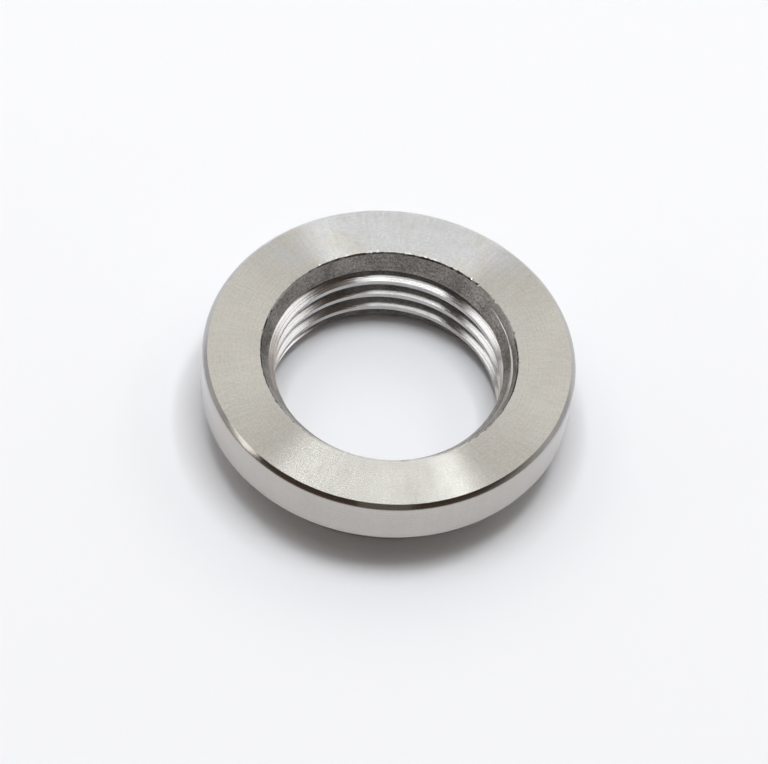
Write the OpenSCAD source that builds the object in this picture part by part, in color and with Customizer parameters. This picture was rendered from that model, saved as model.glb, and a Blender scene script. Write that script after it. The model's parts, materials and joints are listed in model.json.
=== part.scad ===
// Stepped weld-in nut for an exhaust oxygen sensor: one turned piece of steel,
// a round flange over a shorter locating spigot, tapped right through.
// The nut stands on its spigot, with Z along the tapped hole.
// The hole is drawn at the size it is drilled to before tapping.

/* [Flange] */
// Outer diameter of the round flange
flange_d = 27; // [26:0.5:36]
// Thickness of the flange
flange_t = 3.8; // [2.5:0.1:8]
// Chamfer on the flange's upper outer edge
flange_top_chamfer = 0.35; // [0.1:0.05:0.8]
// Edge break on the flange's lower outer edge
flange_low_chamfer = 0.15; // [0.05:0.05:0.8]

/* [Locating spigot] */
// Outer diameter of the spigot that drops into the pipe's hole
spigot_d = 22.8; // [21:0.1:24]
// Height of the spigot below the flange
spigot_h = 3.2; // [1.5:0.1:10]
// Lead-in chamfer on the spigot's lower outer edge
spigot_chamfer = 0.2; // [0.1:0.05:0.8]

/* [Tapped hole] */
// Nominal diameter of the sensor's thread
thread_d = 18; // [14:0.5:18]
// Pitch of the sensor's thread
thread_pitch = 1.5; // [0.75:0.25:2]
// How far the upper countersink's mouth clears the nominal thread, on the radius
upper_mouth_clearance = 0.33; // [0:0.01:0.6]
// How far the lower countersink clears it
lower_mouth_clearance = 0; // [0:0.01:0.6]
// Full angle of the countersinks at both mouths
countersink_angle = 70; // [60:5:120]

/* [Hidden] */
$fn = 192;

overall_h = spigot_h + flange_t;
flange_r = flange_d / 2;
spigot_r = spigot_d / 2;
drill_r = (thread_d - thread_pitch) / 2;
upper_mouth_r = thread_d / 2 + upper_mouth_clearance;
lower_mouth_r = thread_d / 2 + lower_mouth_clearance;
countersink_slope = tan(countersink_angle / 2);
upper_countersink_depth = (upper_mouth_r - drill_r) / countersink_slope;
lower_countersink_depth = (lower_mouth_r - drill_r) / countersink_slope;

// Outside of the half section, from the foot of the spigot up to the top face
turned_outline = [
    [lower_mouth_r, 0],
    [spigot_r - spigot_chamfer, 0],
    [spigot_r, spigot_chamfer],
    [spigot_r, spigot_h],
    [flange_r - flange_low_chamfer, spigot_h],
    [flange_r, spigot_h + flange_low_chamfer],
    [flange_r, overall_h - flange_top_chamfer],
    [flange_r - flange_top_chamfer, overall_h]
];

// Inside of the half section, from the upper mouth down to the lower one
drilled_outline = [
    [upper_mouth_r, overall_h],
    [drill_r, overall_h - upper_countersink_depth],
    [drill_r, lower_countersink_depth]
];

// The whole nut, turned and drilled in one setting
module sensor_nut() {
    color("#bcb7af")
        rotate_extrude()
            polygon(concat(turned_outline, drilled_outline));
}

sensor_nut();
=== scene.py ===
# %% [markdown]
# An oxygen sensor nut is a weld-in nut for an exhaust pipe. A lathe turns it from one bar of steel:
# a wide flange above, a shorter spigot below that drops into the pipe's hole, and a tapped hole
# through both. The solid model comes in first and stays fixed. Everything made here is fitted to it.

# %% Load the solid model
import json
import math

import bmesh
import bpy
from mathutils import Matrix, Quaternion, Vector, noise


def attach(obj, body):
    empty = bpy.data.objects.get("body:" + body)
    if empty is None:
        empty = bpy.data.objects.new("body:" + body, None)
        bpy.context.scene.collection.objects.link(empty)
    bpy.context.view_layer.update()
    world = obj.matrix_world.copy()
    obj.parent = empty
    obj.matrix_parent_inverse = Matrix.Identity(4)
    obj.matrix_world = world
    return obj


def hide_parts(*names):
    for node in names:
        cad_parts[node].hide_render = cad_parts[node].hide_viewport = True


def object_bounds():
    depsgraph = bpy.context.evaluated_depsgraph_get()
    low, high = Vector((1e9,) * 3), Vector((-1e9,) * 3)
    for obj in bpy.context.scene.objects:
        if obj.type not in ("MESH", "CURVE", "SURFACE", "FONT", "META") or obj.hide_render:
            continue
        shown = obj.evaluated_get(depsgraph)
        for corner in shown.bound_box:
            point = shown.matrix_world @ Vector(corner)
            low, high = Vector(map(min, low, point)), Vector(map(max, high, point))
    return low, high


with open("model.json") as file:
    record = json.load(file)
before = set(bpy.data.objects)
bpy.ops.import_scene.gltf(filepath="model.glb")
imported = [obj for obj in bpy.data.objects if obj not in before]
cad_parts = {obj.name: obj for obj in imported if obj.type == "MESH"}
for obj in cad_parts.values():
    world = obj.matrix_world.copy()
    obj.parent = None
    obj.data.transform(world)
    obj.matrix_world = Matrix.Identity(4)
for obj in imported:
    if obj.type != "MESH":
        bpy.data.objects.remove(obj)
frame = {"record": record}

MM = 0.001
cad_low, cad_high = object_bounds()
print("solid model, size in mm:", [round(side / MM, 3) for side in cad_high - cad_low])

# %% [markdown]
# The record that comes with the solid gives the sizes of its hole and faces. Reading them from there
# keeps the visual nut on the same sizes as the solid. Three things aren't in the record and are named
# here: the chamfer round the top, the slope of the countersinks and the thread, because the solid has
# a plain hole at the size it is drilled to before tapping.

# %% Sizes of the nut
mounts = {mount["name"]: mount for mount in frame["record"]["mounts"]}
thread_mount = mounts["sensor_thread"]["dims"]
spigot_mount = mounts["pipe_spigot"]["dims"]

flange_r = cad_high.x
overall_h = cad_high.z
spigot_r = spigot_mount["r_mm"] * MM
spigot_h = mounts["weld_face"]["pos_m"][2]
spigot_chamfer = spigot_h - spigot_mount["length_mm"] * MM
flange_top_chamfer = 0.35 * MM

drill_r = thread_mount["r_mm"] * MM
bore_middle = mounts["sensor_thread"]["pos_m"][2]
bore_low = bore_middle - thread_mount["length_mm"] * MM / 2
bore_high = bore_middle + thread_mount["length_mm"] * MM / 2
cone_tilt = math.radians(35)
upper_mouth_r = drill_r + (overall_h - bore_high) * math.tan(cone_tilt)
lower_mouth_r = drill_r + bore_low * math.tan(cone_tilt)

thread_r = 9.0 * MM
thread_pitch = 1.5 * MM
print("radius of the upper mouth in mm:", round(upper_mouth_r / MM, 3))
print("radius of the lower mouth in mm:", round(lower_mouth_r / MM, 3))

# %% [markdown]
# A turned part is half of its section spun round its axis. The section could be a ready list of rounded
# points. Here it is drawn with sharp corners as one flat face, because a vertex bevel then rounds each
# corner by a size that is easy to change. No real edge is perfectly sharp: the spigot's edges get a tiny
# round and the flange's lower edge a wider one. The lower corner of the top chamfer is softened, so that
# light runs over it without a hard step. The rim of the upper mouth stays sharp, because it is chipped
# later. Two rings on each side of it keep the chips from bending the shading of the wide faces.

# %% Half section of the blank
rim_strip = 0.14 * MM
rim_border = rim_strip * 1.2
spigot_round = 0.02 * MM
flange_low_round = 0.25 * MM
chamfer_round = 0.13 * MM


def down_the_cone(distance):
    return upper_mouth_r - distance * math.sin(cone_tilt), overall_h - distance * math.cos(cone_tilt)


half_section = [
    (lower_mouth_r, 0),
    (spigot_r - spigot_chamfer, 0),
    (spigot_r, spigot_chamfer),
    (spigot_r, spigot_h),
    (flange_r, spigot_h),
    (flange_r, overall_h - flange_top_chamfer),
    (flange_r - flange_top_chamfer, overall_h),
    (upper_mouth_r + rim_border, overall_h),
    (upper_mouth_r + rim_strip, overall_h),
    (upper_mouth_r, overall_h),
    down_the_cone(rim_strip),
    down_the_cone(rim_border),
    (drill_r, bore_high),
    (drill_r, bore_low),
]
spigot_edges = slice(0, 3)
flange_low_edge = slice(4, 5)
chamfer_low_edge = slice(5, 6)
print("corners of the half section:", len(half_section))

# %% [markdown]
# The blank and the tap both start as an outline that is spun, so the steps are functions. The spin can
# also rise as it turns, which the tap needs. A full turn merges its last ring with its first, so that no
# seam is left open.

# %% Spin the blank
turn_steps = 600
weld_distance = 0.0005 * MM


def outline_face(bm, points):
    corners = [bm.verts.new((radius, 0, height)) for radius, height in points]
    bm.faces.new(corners)
    return corners


def round_corners(bm, corners, size, segments):
    bmesh.ops.bevel(
        bm, geom=corners, offset=size, offset_type="OFFSET", affect="VERTICES",
        segments=segments, profile=0.5, material=-1,
    )


def spin_outline(bm, rise, close):
    bmesh.ops.delete(bm, geom=bm.faces[:], context="FACES_ONLY")
    bmesh.ops.spin(
        bm, geom=bm.verts[:] + bm.edges[:], cent=(0, 0, 0), axis=(0, 0, 1),
        dvec=(0, 0, rise / turn_steps), angle=math.tau, steps=turn_steps, use_merge=close,
    )


def into_object(bm, name):
    mesh = bpy.data.meshes.new(name)
    bm.to_mesh(mesh)
    bm.free()
    made = bpy.data.objects.new(name, mesh)
    bpy.context.scene.collection.objects.link(made)
    return made


blank_bm = bmesh.new()
section_corners = outline_face(blank_bm, half_section)
round_corners(blank_bm, section_corners[spigot_edges], spigot_round, segments=2)
round_corners(blank_bm, section_corners[flange_low_edge], flange_low_round, segments=10)
round_corners(blank_bm, section_corners[chamfer_low_edge], chamfer_round, segments=6)
spin_outline(blank_bm, rise=0, close=True)
bmesh.ops.remove_doubles(blank_bm, verts=blank_bm.verts[:], dist=weld_distance)
bmesh.ops.recalc_face_normals(blank_bm, faces=blank_bm.faces[:])
nut = into_object(blank_bm, "sensor_nut_turned")
print("blank:", len(nut.data.vertices), "vertices")

# %% [markdown]
# A tap cuts a helical groove into the drilled wall. Its flanks stand 60 degrees apart, as on any metric
# thread, and are tipped by six degrees, because this nut's lower flanks catch the light like flatter
# faces. The groove could be a screw modifier. The same spin operator makes it too, when every step also
# rises a little. One turn is spun, and copies of it are stacked a pitch apart, which is much quicker
# than one long spin. The cutter starts below the nut and ends above it, and its inner side stays inside
# the empty hole, so only the groove itself meets the steel.

# %% Cutter for the thread
upper_flank = math.radians(36)
lower_flank = math.radians(24)
cutter_r = drill_r - 0.3 * MM
root_half = thread_pitch / 12
root_round = root_half * 0.3
cutter_turns = 6
turns_below_back_groove = 4
quarter_turn = 0.25
groove_depth_at_back = 1.67 * MM


def flank_rise(tilt):
    return (thread_r - cutter_r) * math.tan(tilt)


back_groove_z = overall_h - groove_depth_at_back
start_z = back_groove_z - (turns_below_back_groove + quarter_turn) * thread_pitch
groove_section = [
    (cutter_r, start_z - root_half - flank_rise(lower_flank)),
    (thread_r, start_z - root_half),
    (thread_r, start_z + root_half),
    (cutter_r, start_z + root_half + flank_rise(upper_flank)),
]
root_corners = slice(1, 3)
cutter_bm = bmesh.new()
groove_corners = outline_face(cutter_bm, groove_section)
round_corners(cutter_bm, groove_corners[root_corners], root_round, segments=2)
spin_outline(cutter_bm, rise=thread_pitch, close=False)
one_turn = cutter_bm.verts[:] + cutter_bm.edges[:] + cutter_bm.faces[:]
for turn in range(1, cutter_turns):
    copied = bmesh.ops.duplicate(cutter_bm, geom=one_turn)["geom"]
    lifted = [part for part in copied if isinstance(part, bmesh.types.BMVert)]
    bmesh.ops.translate(cutter_bm, verts=lifted, vec=(0, 0, turn * thread_pitch))
bmesh.ops.remove_doubles(cutter_bm, verts=cutter_bm.verts[:], dist=weld_distance)
open_ends = [edge for edge in cutter_bm.edges if edge.is_boundary]
bmesh.ops.holes_fill(cutter_bm, edges=open_ends, sides=0)
bmesh.ops.recalc_face_normals(cutter_bm, faces=cutter_bm.faces[:])
cutter = into_object(cutter_bm, "thread_cutter")
print("cutter:", len(cutter.data.vertices), "vertices")

# %% [markdown]
# A Boolean modifier takes the groove out of the blank. Its exact solver is slower than the fast one, but
# it keeps the mesh closed where the helix runs out on the countersinks. The result is stored as a plain
# mesh, and the modifier and the cutter are removed, so nothing live is left on the nut.

# %% Cut the thread
tapping = nut.modifiers.new("tapping", "BOOLEAN")
tapping.operation = "DIFFERENCE"
tapping.solver = "EXACT"
tapping.object = cutter
bpy.context.view_layer.update()
cut_mesh = bpy.data.meshes.new_from_object(nut.evaluated_get(bpy.context.evaluated_depsgraph_get()))
nut.modifiers.remove(tapping)
nut.data = cut_mesh
bpy.data.objects.remove(cutter)
print("tapped nut:", len(nut.data.vertices), "vertices")

# %% [markdown]
# Each tool leaves its own finish, so the faces are sorted by the tool that cut them: the facing cut on
# top, the turning tool outside, the countersink at both mouths and the tap inside. The tap cuts the lower
# flanks bright and tears the overhanging ones, which are also given a dark colour as painted shade,
# because they sit in the shade deep in the groove. The narrow strip round the upper rim is fresh metal, as
# bright as the lower flanks. A face's place and the way it points are enough to tell them all apart.
# Edges between two finishes stay sharp, and so do edges that bend by more than a few degrees.

# %% Sort the faces by finish
FACED, TURNED, COUNTERSUNK, TAPPED, TORN_SHADED = range(5)
sharp_angle = math.radians(10)
small = 0.02 * MM
facing_up = 0.9
overhanging = -0.3
slope_error = 0.06


def finish_of(face):
    middle = face.calc_center_median()
    radius = middle.xy.length
    inward = -face.normal.xy.dot(middle.xy) / radius
    if middle.z > overall_h - small and face.normal.z > facing_up:
        return FACED
    if radius > upper_mouth_r + small or middle.z < small:
        return TURNED
    upper_cone_r = upper_mouth_r - (overall_h - middle.z) * math.tan(cone_tilt)
    lower_cone_r = lower_mouth_r - middle.z * math.tan(cone_tilt)
    off_cone = min(abs(radius - upper_cone_r), abs(radius - lower_cone_r))
    on_cone = off_cone < small and abs(inward - math.cos(cone_tilt)) < slope_error
    on_rim = middle.z > overall_h - rim_strip
    if on_cone and not on_rim:
        return COUNTERSUNK
    # Overhanging faces in the hole get the darker steel, which is painted shade for the groove.
    return TORN_SHADED if face.normal.z < overhanging else TAPPED


nut_bm = bmesh.new()
nut_bm.from_mesh(nut.data)
bmesh.ops.remove_doubles(nut_bm, verts=nut_bm.verts[:], dist=weld_distance)
bmesh.ops.dissolve_degenerate(nut_bm, edges=nut_bm.edges[:], dist=weld_distance)
nut_bm.normal_update()
for face in nut_bm.faces:
    face.material_index = finish_of(face)
    face.smooth = True
for edge in nut_bm.edges:
    finishes = {face.material_index for face in edge.link_faces}
    edge.smooth = len(finishes) == 1 and edge.calc_face_angle(0) < sharp_angle
print("not closed:", sum(not edge.is_manifold for edge in nut_bm.edges))

# %% [markdown]
# The countersink tears tiny chips out of the rim it breaks through, which gives the edge a ragged line of
# bright and dark specks. A bump in the material would leave the outline of the rim smooth, so its vertices
# are moved: one noise pushes them outwards, and another sinks them. Both are read at the vertex, so every
# run gives the same chips.

# %% Chip the upper rim
chip_size = 0.09 * MM
chip_depth = 0.1 * MM
chip_bias = 0.1
dent_depth = 0.07 * MM
dent_shift = Vector((5, 0, 0))
rim_reach = 0.06 * MM
chipped = 0
for vert in nut_bm.verts:
    radius = vert.co.xy.length
    if math.hypot(radius - upper_mouth_r, vert.co.z - overall_h) < rim_reach:
        place = vert.co / chip_size
        chip = max(0, noise.noise(place) + chip_bias) * chip_depth
        dent = max(0, noise.noise(place + dent_shift)) * dent_depth
        vert.co.xy *= 1 + chip / radius
        vert.co.z -= dent
        chipped += 1
print("rim vertices moved:", chipped)
nut_bm.to_mesh(nut.data)
nut_bm.free()

# %% [markdown]
# The nut is bare machined steel, so its colour comes almost wholly from what it mirrors. What tells one
# steel surface from another is the trace that its tool has left. The traces are built once, as node
# groups, and every finish places them with its own values. These helpers keep the node code short: a
# value may be a plain number or the output of another node.

# %% Helpers for the nodes
def put(tree, kind, **settings):
    made = tree.nodes.new(kind)
    for name, value in settings.items():
        setattr(made, name, value)
    return made


def feed(tree, value, socket):
    if isinstance(value, bpy.types.NodeSocket):
        tree.links.new(value, socket)
    else:
        socket.default_value = value


def maths(tree, operation, first, second):
    made = put(tree, "ShaderNodeMath", operation=operation)
    feed(tree, first, made.inputs[0])
    feed(tree, second, made.inputs[1])
    return made.outputs["Value"]


def rescale(tree, value, low, high, new_low, new_high):
    made = put(tree, "ShaderNodeMapRange")
    made.inputs["From Min"].default_value = low
    made.inputs["From Max"].default_value = high
    made.inputs["To Min"].default_value = new_low
    made.inputs["To Max"].default_value = new_high
    feed(tree, value, made.inputs["Value"])
    return made.outputs["Result"]


def weighed_sum(tree, parts):
    total = 0.0
    for value, weight in parts:
        total = maths(tree, "ADD", total, maths(tree, "MULTIPLY", value, weight))
    return total


def blend_colours(tree, first, second, share):
    made = put(tree, "ShaderNodeMix", data_type="RGBA")
    feed(tree, first, made.inputs["A"])
    feed(tree, second, made.inputs["B"])
    feed(tree, share, made.inputs["Factor"])
    return made.outputs["Result"]


print("node helpers are ready")

# %% [markdown]
# A node group has its own inputs and outputs, and inside it the place on the nut is read from Object
# coordinates, which stay with the metal. Most traces run round the axis, so the flat part of the place,
# without its height, and the distance from the axis are needed again and again.

# %% Helpers for the groups
def start_group(name, inputs, output, kind="NodeSocketFloat"):
    tree = bpy.data.node_groups.new(name, "ShaderNodeTree")
    for label, value in inputs.items():
        socket = tree.interface.new_socket(label, in_out="INPUT", socket_type="NodeSocketFloat")
        socket.default_value = value
    tree.interface.new_socket(output, in_out="OUTPUT", socket_type=kind)
    given = put(tree, "NodeGroupInput").outputs
    result = put(tree, "NodeGroupOutput").inputs[output]
    return tree, given, result


def place_on_nut(tree):
    place = put(tree, "ShaderNodeTexCoord").outputs["Object"]
    flat = put(tree, "ShaderNodeVectorMath", operation="MULTIPLY")
    flat.inputs[1].default_value = (1, 1, 0)
    tree.links.new(place, flat.inputs[0])
    return place, flat.outputs["Vector"]


def split_place(tree, place):
    made = put(tree, "ShaderNodeSeparateXYZ")
    tree.links.new(place, made.inputs["Vector"])
    return made.outputs


def length_of(tree, vector):
    made = put(tree, "ShaderNodeVectorMath", operation="LENGTH")
    tree.links.new(vector, made.inputs[0])
    return made.outputs["Value"]


print("group helpers are ready")

# %% [markdown]
# A lathe tool leaves fine rings round the axis. On a flat face they follow the radius, and on a wall
# they follow the height. A wave texture would give even rings. One noise along a single line gives rings
# of uneven depth, as a real tool leaves them, and a slow noise makes them fade in and out.

# %% Lathe marks
marks_group, given, result = start_group(
    "lathe_marks", {"Across Radius": 1, "Along Height": 0, "Rings per Millimetre": 8}, "Marks"
)
place, flat = place_on_nut(marks_group)
height = split_place(marks_group, place)["Z"]
across = maths(marks_group, "MULTIPLY", length_of(marks_group, flat), given["Across Radius"])
upwards = maths(marks_group, "MULTIPLY", height, given["Along Height"])
metres = maths(marks_group, "ADD", across, upwards)
rings = put(marks_group, "ShaderNodeTexNoise", noise_dimensions="1D")
rings.inputs["Scale"].default_value = 1 / MM
rings.inputs["Detail"].default_value = 3
rings.inputs["Roughness"].default_value = 0.6
marks_group.links.new(
    maths(marks_group, "MULTIPLY", metres, given["Rings per Millimetre"]), rings.inputs["W"]
)
fading = put(marks_group, "ShaderNodeTexNoise")
fading.inputs["Scale"].default_value = 0.5 / MM
marks_group.links.new(place, fading.inputs["Vector"])
swing = maths(marks_group, "SUBTRACT", rings.outputs["Fac"], 0.5)
strength = rescale(marks_group, fading.outputs["Fac"], 0.3, 0.7, 0.4, 1.3)
marks_group.links.new(
    maths(marks_group, "ADD", maths(marks_group, "MULTIPLY", swing, strength), 0.5), result
)
print("group:", marks_group.name)

# %% [markdown]
# Cleaning and handling leave cloudy patches, and the steel has a fine grain. Both are the same noise at
# two sizes, so one group with a size in millimetres serves for both.

# %% Grain and patches
grain_group, given, result = start_group("steel_grain", {"Size in Millimetres": 1}, "Grain")
place, flat = place_on_nut(grain_group)
clouds = put(grain_group, "ShaderNodeTexNoise")
clouds.inputs["Detail"].default_value = 2
clouds.inputs["Roughness"].default_value = 0.55
grain_group.links.new(place, clouds.inputs["Vector"])
grain_group.links.new(
    maths(grain_group, "DIVIDE", 1 / MM, given["Size in Millimetres"]), clouds.inputs["Scale"]
)
grain_group.links.new(clouds.outputs["Fac"], result)
print("group:", grain_group.name)

# %% [markdown]
# Where the rings are cut a little deeper or shallower, the light streaks outwards like spokes. A noise
# read on the direction from the axis, and only slowly along the radius, gives those streaks.

# %% Spokes of light
spokes_group, given, result = start_group("spokes", {"Spokes": 60}, "Spokes")
place, flat = place_on_nut(spokes_group)
outwards = put(spokes_group, "ShaderNodeVectorMath", operation="NORMALIZE")
spokes_group.links.new(flat, outwards.inputs[0])
fine_turn = put(spokes_group, "ShaderNodeVectorMath", operation="SCALE")
spokes_group.links.new(outwards.outputs["Vector"], fine_turn.inputs[0])
spokes_group.links.new(given["Spokes"], fine_turn.inputs["Scale"])
slow_radius = put(spokes_group, "ShaderNodeCombineXYZ")
spokes_group.links.new(
    maths(spokes_group, "MULTIPLY", length_of(spokes_group, flat), 0.6 / MM), slow_radius.inputs["Z"]
)
spoke_place = put(spokes_group, "ShaderNodeVectorMath", operation="ADD")
spokes_group.links.new(fine_turn.outputs["Vector"], spoke_place.inputs[0])
spokes_group.links.new(slow_radius.outputs["Vector"], spoke_place.inputs[1])
streaks = put(spokes_group, "ShaderNodeTexNoise")
streaks.inputs["Scale"].default_value = 1
streaks.inputs["Detail"].default_value = 2
spokes_group.links.new(spoke_place.outputs["Vector"], streaks.inputs["Vector"])
spokes_group.links.new(streaks.outputs["Fac"], result)
print("group:", spokes_group.name)

# %% [markdown]
# A few tiny pits and specks of dirt are scattered over every surface. A Voronoi texture gives one spot
# in each cell, and the cell's own random shade decides how large that spot is, so most cells stay bare.

# %% Specks and pits
specks_group, given, result = start_group(
    "specks", {"Spacing in Millimetres": 1, "Largest Share": 0.2}, "Specks"
)
place, flat = place_on_nut(specks_group)
cells = put(specks_group, "ShaderNodeTexVoronoi")
specks_group.links.new(place, cells.inputs["Vector"])
specks_group.links.new(
    maths(specks_group, "DIVIDE", 1 / MM, given["Spacing in Millimetres"]), cells.inputs["Scale"]
)
shade = put(specks_group, "ShaderNodeSeparateColor")
specks_group.links.new(cells.outputs["Color"], shade.inputs["Color"])
chance = maths(specks_group, "POWER", shade.outputs["Red"], 6)
reach = maths(specks_group, "MULTIPLY", chance, given["Largest Share"])
past_edge = maths(specks_group, "SUBTRACT", cells.outputs["Distance"], reach)
specks_group.links.new(rescale(specks_group, past_edge, -0.03, 0.01, 1, 0), result)
print("group:", specks_group.name)

# %% [markdown]
# Machined steel isn't one even hue, and very fine rings split light a little. Towards the back the nut is
# given a faintly cooler colour, which is a painted cool sheen: it stands in for the cooler light that the
# far side reflects. The share of this painted tint grows with the distance towards the back, and a slow
# noise makes its border wander, so that no straight line shows.

# %% Painted cool sheen
painted_sheen_group, given, result = start_group(
    "painted_cool_sheen", {"Cool From": 8, "Fading Width": 3}, "Tint", "NodeSocketColor"
)
place, flat = place_on_nut(painted_sheen_group)
backwards = split_place(painted_sheen_group, place)["Y"]
sheen_border_noise = put(painted_sheen_group, "ShaderNodeTexNoise")
sheen_border_noise.inputs["Detail"].default_value = 1
sheen_border_noise.inputs["Scale"].default_value = 0.45 / MM
painted_sheen_group.links.new(place, sheen_border_noise.inputs["Vector"])
wander = rescale(painted_sheen_group, sheen_border_noise.outputs["Fac"], 0.3, 0.7, -2.5, 2.5)
wandering = weighed_sum(painted_sheen_group, ((backwards, 1 / MM), (wander, 1)))
beyond = maths(painted_sheen_group, "SUBTRACT", wandering, given["Cool From"])
painted_sheen_share = rescale(painted_sheen_group, maths(painted_sheen_group, "DIVIDE", beyond, given["Fading Width"]), 0, 1, 0, 1)
# Painted cool sheen: the colour that the back of the nut is tinted towards, standing in for cooler
# reflected light.
neutral = (1, 1, 1, 1)
painted_cool_colour = (0.975, 1, 1.08, 1)
painted_sheen_group.links.new(blend_colours(painted_sheen_group, neutral, painted_cool_colour, painted_sheen_share), result)
print("group:", painted_sheen_group.name)

# %% [markdown]
# All five finishes are one shader with different amounts of these traces. The tone between the dark and
# the light colour is a sum of the traces, each with its share, and so are the roughness and the height of
# the bump. The rings spread a reflection across them and hardly along them, which is what the shader's
# anisotropy does. The tangent runs round the axis, and a quarter turn of the anisotropy puts the wide
# side of the highlight across the rings.

# %% Shader of the steel
spoke_count = 70
speck_spacing = 0.9
largest_speck = 0.1
dirt_colour = (0.16, 0.145, 0.13, 1)
dirt_strength = 0.5
pit_depth = -2
painted_sheen_width = 4
bump_unit = 0.001 * MM


def place_group(tree, group, **values):
    made = put(tree, "ShaderNodeGroup", node_tree=group)
    for label, value in values.items():
        made.inputs[label.replace("_", " ")].default_value = value
    return made.outputs[0]


def steel(name, dark, light, contrast, painted_sheen_from, roughness, anisotropy, rings, shares, sizes, relief):
    material = bpy.data.materials.new(name)
    material.use_nodes = True
    tree = material.node_tree
    tree.nodes.clear()
    across, along, per_mm = rings
    grain_mm, patch_mm = sizes
    marks = place_group(
        tree, marks_group, Across_Radius=across, Along_Height=along, Rings_per_Millimetre=per_mm
    )
    grain = place_group(tree, grain_group, Size_in_Millimetres=grain_mm)
    patches = place_group(tree, grain_group, Size_in_Millimetres=patch_mm)
    spokes = place_group(tree, spokes_group, Spokes=spoke_count)
    specks = place_group(
        tree, specks_group, Spacing_in_Millimetres=speck_spacing, Largest_Share=largest_speck
    )
    # The painted cool sheen is multiplied into the base colour here.
    tint = place_group(tree, painted_sheen_group, Cool_From=painted_sheen_from, Fading_Width=painted_sheen_width)

    traces = weighed_sum(tree, zip((marks, grain, patches, spokes), shares))
    tone = rescale(tree, traces, 0.5 - contrast, 0.5 + contrast, 0, 1)
    clean = blend_colours(tree, dark, light, tone)
    dirty = blend_colours(tree, clean, dirt_colour, maths(tree, "MULTIPLY", specks, dirt_strength))
    tinted = put(tree, "ShaderNodeMix", data_type="RGBA", blend_type="MULTIPLY")
    tinted.inputs["Factor"].default_value = 1
    tree.links.new(dirty, tinted.inputs["A"])
    tree.links.new(tint, tinted.inputs["B"])

    wear = weighed_sum(tree, ((grain, 0.4), (patches, 0.4), (spokes, 0.2)))
    smooth, rough = roughness
    ring_relief, grain_relief = relief
    surface = weighed_sum(tree, ((marks, ring_relief), (grain, grain_relief), (specks, pit_depth)))
    bump = put(tree, "ShaderNodeBump")
    bump.inputs["Distance"].default_value = bump_unit
    tree.links.new(surface, bump.inputs["Height"])

    shader = put(tree, "ShaderNodeBsdfPrincipled")
    shader.inputs["Metallic"].default_value = 1
    shader.inputs["Anisotropic"].default_value = anisotropy
    shader.inputs["Anisotropic Rotation"].default_value = 0.25
    tangent = put(tree, "ShaderNodeTangent", direction_type="RADIAL", axis="Z")
    tree.links.new(tinted.outputs["Result"], shader.inputs["Base Color"])
    tree.links.new(rescale(tree, wear, 0.35, 0.65, smooth, rough), shader.inputs["Roughness"])
    tree.links.new(bump.outputs["Normal"], shader.inputs["Normal"])
    tree.links.new(tangent.outputs["Tangent"], shader.inputs["Tangent"])
    output = put(tree, "ShaderNodeOutputMaterial")
    tree.links.new(shader.outputs["BSDF"], output.inputs["Surface"])
    return material


print("shader is ready")

# %% [markdown]
# The faced top and the turned outside are smooth and strongly ringed. The countersink chattered, so it is
# rough and mottled. The tap left bright flanks below and tore the ones above, which are as rough as the
# countersink; their much darker colour is painted shade for the overhanging flanks deep in the groove. In
# each finish, rings gives how far they follow the radius and the height, and how many there are in a
# millimetre. Shares weighs rings, grain, patches and spokes, sizes gives the grain's and the patches' size
# in millimetres, and relief gives the height of rings and grain in thousandths of a millimetre. The
# painted cool sheen starts where the finish says, in millimetres towards the back, and a value past the
# nut's edge leaves it out.

# %% Steel finishes
no_painted_sheen = 20
rough_cut = {
    "painted_sheen_from": no_painted_sheen, "roughness": (0.36, 0.48), "anisotropy": 0.3, "rings": (1, 0, 7),
    "shares": (0.15, 0.55, 0.3, 0), "sizes": (0.13, 1.6), "relief": (2, 8),
}
# Faced and turned steel carry the painted cool sheen towards the back; the other finishes leave it out.
faced = steel(
    "faced_steel", dark=(0.4825, 0.487, 0.464, 1), light=(0.6275, 0.635, 0.61, 1), contrast=0.16,
    painted_sheen_from=7, roughness=(0.169, 0.178), anisotropy=1, rings=(1, 0, 9),
    shares=(0.3, 0.35, 0.15, 0.2), sizes=(0.16, 2.2), relief=(1.5, 0.22),
)
turned = steel(
    "turned_outside_steel", dark=(0.443, 0.42, 0.391, 1), light=(0.57, 0.542, 0.507, 1), contrast=0.16,
    painted_sheen_from=-8, roughness=(0.11, 0.135), anisotropy=0.68, rings=(0.7, 1, 8),
    shares=(0.45, 0.3, 0.15, 0.1), sizes=(0.16, 2.2), relief=(1.5, 1.5),
)
countersunk = steel(
    "countersunk_steel", dark=(0.27, 0.257, 0.243, 1), light=(0.7, 0.676, 0.648, 1), contrast=0.1,
    **rough_cut,
)
tapped = steel(
    "tapped_steel", dark=(0.36, 0.347, 0.338, 1), light=(0.62, 0.607, 0.598, 1), contrast=0.14,
    painted_sheen_from=no_painted_sheen, roughness=(0.13, 0.155), anisotropy=0.5, rings=(1, 0.5, 6),
    shares=(0.6, 0.25, 0.15, 0), sizes=(0.12, 1.6), relief=(1.8, 1),
)
# Painted shade: the dark base colour stands in for the shade deep in the groove under the overhanging
# flanks; the roughness is the torn cut's own.
torn_shaded = steel(
    "torn_steel_painted_shade", dark=(0.12, 0.114, 0.108, 1), light=(0.34, 0.325, 0.31, 1), contrast=0.12,
    **rough_cut,
)
steels = (faced, turned, countersunk, tapped, torn_shaded)
print("finishes:", [finish.name for finish in steels])

# %% [markdown]
# The nut gets its finishes in the order that the faces were sorted by. It then takes the place of the
# plain solid, which stays behind it for collision, and rides on the only body.

# %% Dress the nut
for finish in steels:
    nut.data.materials.append(finish)
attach(nut, "root")
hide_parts("sensor_nut")
for place, finish in enumerate(nut.data.materials):
    print(finish.name, "faces:", sum(face.material_index == place for face in nut.data.polygons))

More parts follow.
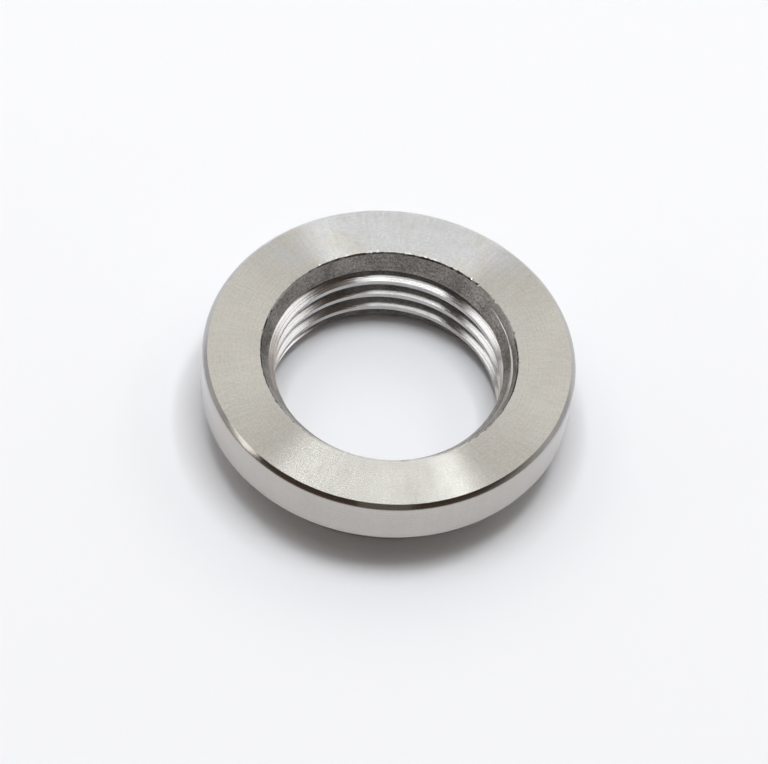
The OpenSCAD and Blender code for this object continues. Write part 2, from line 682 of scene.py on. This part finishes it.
# %% [markdown]
# The nut stands on a plain white sheet. The sheet is a real surface and takes the nut's shadow.

# %% Floor
floor_half = 2
floor_bm = bmesh.new()
bmesh.ops.create_grid(floor_bm, x_segments=1, y_segments=1, size=floor_half)
floor = into_object(floor_bm, "white_sheet")
floor_paint = bpy.data.materials.new("white_sheet")
floor_paint.use_nodes = True
paper = floor_paint.node_tree.nodes["Principled BSDF"]
paper.inputs["Base Color"].default_value = (0.84, 0.848, 0.868, 1)
paper.inputs["Roughness"].default_value = 0.9
paper.inputs["Specular IOR Level"].default_value = 0.1
floor.data.materials.append(floor_paint)
print("floor:", floor.name)

# %% [markdown]
# Metal looks like its surroundings, so the light is a ceiling of flat soft panels that face straight
# down, as in a white shooting tent. Each panel's edges are given as shares of the ceiling's height:
# left and right of the nut, and in front of it or behind. A panel's power grows with its size, so its
# brightness is given for its surface and stays when its edges move. The brightest panels hang over the
# nut and a little behind it, and make the wide fans of light on the ringed top. Weaker ones on both
# sides, behind and far behind light the thread and the sides. The front has only a faint glow, so the
# chamfer there draws a dark line, and a window low on the left puts a glint at that line's end.

# %% Lights
ceiling_h = 0.6


def ceiling_panel(name, left, right, near, far, brightness, colour):
    light = bpy.data.lights.new(name, "AREA")
    light.shape = "RECTANGLE"
    light.size = (right - left) * ceiling_h
    light.size_y = (far - near) * ceiling_h
    light.energy = math.pi * light.size * light.size_y * brightness
    light.color = colour
    panel = bpy.data.objects.new(name, light)
    middle = Vector(((left + right) / 2, (near + far) / 2, 1))
    panel.location = Vector((0, 0, overall_h)) + middle * ceiling_h
    panel.visible_camera = False
    bpy.context.scene.collection.objects.link(panel)


cool_white = (0.955, 0.977, 1)
warm_white = (1, 0.975, 0.935)
ceiling_panel("strip_panel", -0.25, 0.29, -0.03, 0.15, 16.2, cool_white)
ceiling_panel("right_lamp", 0.19, 0.28, 0.15, 0.3, 31, cool_white)
ceiling_panel("left_lamp", -0.265, -0.18, 0.14, 0.28, 23, cool_white)
ceiling_panel("upper_panel", -0.17, 0.17, 0.17, 0.45, 1.5, cool_white)
ceiling_panel("front_panel", -0.28, 0.25, -0.4, -0.03, 1.45, cool_white)
ceiling_panel("left_panel", -0.78, -0.47, -0.15, 0.6, 2, cool_white)
ceiling_panel("right_panel", 0.67, 0.95, -0.05, 0.8, 1.9, cool_white)
ceiling_panel("left_window", -2.9, -1.92, -1, -0.1, 1.8, warm_white)
ceiling_panel("back_panel", -1.05, 1.3, 0.55, 1.2, 0.89, warm_white)
ceiling_panel("far_panel", -1.6, 1.6, 1.2, 2.3, 0.5, warm_white)
ceiling_panel("left_wing", -1.9, -1.06, -0.3, 1.2, 0.55, warm_white)
ceiling_panel("right_wing", 1.31, 1.95, -0.3, 1.2, 0.55, warm_white)
ceiling_panel("front_glow", -0.2, 0.6, -1.8, -0.9, 0.11, warm_white)

# %% [markdown]
# Past the panels, the metal mirrors the room. Its walls glow a little low down and are dim above, and
# they are brighter behind the nut than in front. The world shader reads the direction of each ray for
# that: its height picks the colour, and its depth the strength.

# %% Walls of the room
world = bpy.data.worlds.new("room_walls")
bpy.context.scene.world = world
world.use_nodes = True
sky = world.node_tree
ray = split_place(sky, put(sky, "ShaderNodeTexCoord").outputs["Generated"])
low_wall = (0.43, 0.43, 0.425, 1)
dim_wall = (0.076, 0.053, 0.039, 1)
glow_ends = 0.28
dim_starts = 0.4
front_strength = 0.85
back_strength = 1.4
upwards = rescale(sky, ray["Z"], glow_ends, dim_starts, 0, 1)
strength = rescale(sky, ray["Y"], -0.2, 0.15, front_strength, back_strength)
backdrop = sky.nodes["Background"]
sky.links.new(blend_colours(sky, low_wall, dim_wall, upwards), backdrop.inputs["Color"])
sky.links.new(strength, backdrop.inputs["Strength"])
print("world:", world.name)

# %% [markdown]
# The camera looks down on the nut through a long lens, and is rolled a little, as if held by hand.

# %% Camera
camera_elevation = math.radians(53.47)
camera_roll = math.radians(6.83)
camera_distance = 336 * MM
camera_aim = Vector((-0.173 * MM, -2.514 * MM, overall_h))
lens_in_pixels = 4687
picture_width = 768

lens = bpy.data.cameras.new("camera")
lens.sensor_width = 36
lens.lens = lens_in_pixels * lens.sensor_width / picture_width
lens.clip_start = 0.01
lens.clip_end = 10
camera = bpy.data.objects.new("camera", lens)
camera_back = Vector((0, -math.cos(camera_elevation), math.sin(camera_elevation)))
camera.location = camera_aim + camera_back * camera_distance
camera.rotation_mode = "QUATERNION"
level_view = (-camera_back).to_track_quat("-Z", "Y")
camera.rotation_quaternion = level_view @ Quaternion((0, 0, 1), camera_roll)
bpy.context.scene.collection.objects.link(camera)
bpy.context.scene.camera = camera
bpy.context.scene.view_settings.view_transform = "Standard"
print("lens in mm:", round(lens.lens, 1))
